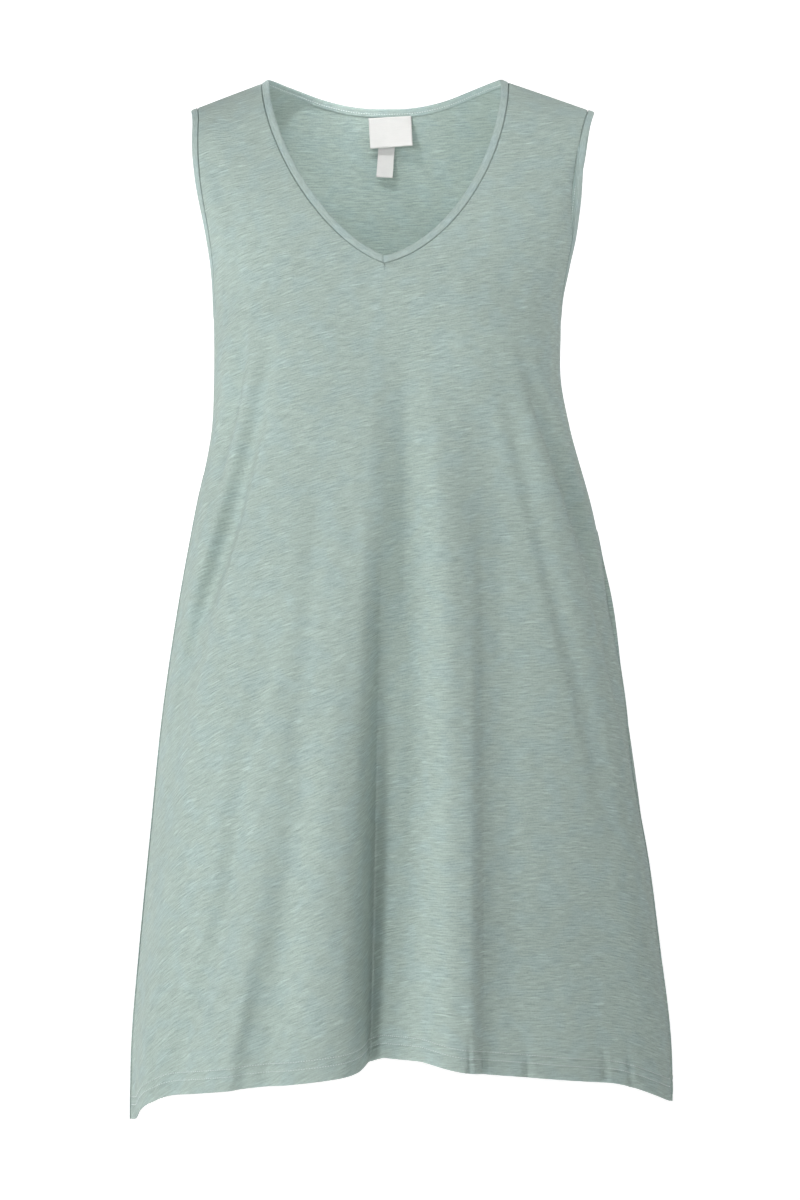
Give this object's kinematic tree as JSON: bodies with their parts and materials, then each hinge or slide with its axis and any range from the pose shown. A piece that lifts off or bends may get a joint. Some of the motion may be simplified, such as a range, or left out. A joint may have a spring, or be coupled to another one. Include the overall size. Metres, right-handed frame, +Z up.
{
  "type": "tunic top",
  "caption": "Sleeveless A-line tunic top with a V neck, bound neck and armholes, soft vertical folds and pointed side hems, hollow as when worn.",
  "frame": {"origin": "midway between the neck ends of the two shoulder seams, where the wearer's shoulders carry the garment", "axes": "+Z up the garment from hem to shoulders, front faces -Y, +X to the right of someone facing the front"},
  "size_m": [0.5011, 0.3195, 0.9573],
  "materials": {
    "jersey": "slub jersey, matte",
    "binding": "folded jersey, matte",
    "label": "woven, satin"
  },
  "bodies": {
    "root": {"front_panel": "jersey", "back_panel": "jersey", "neck_binding": "binding", "armhole_binding_left": "binding", "armhole_binding_right": "binding", "neck_label": "label", "size_tab": "label"}
  },
  "joints": []
}
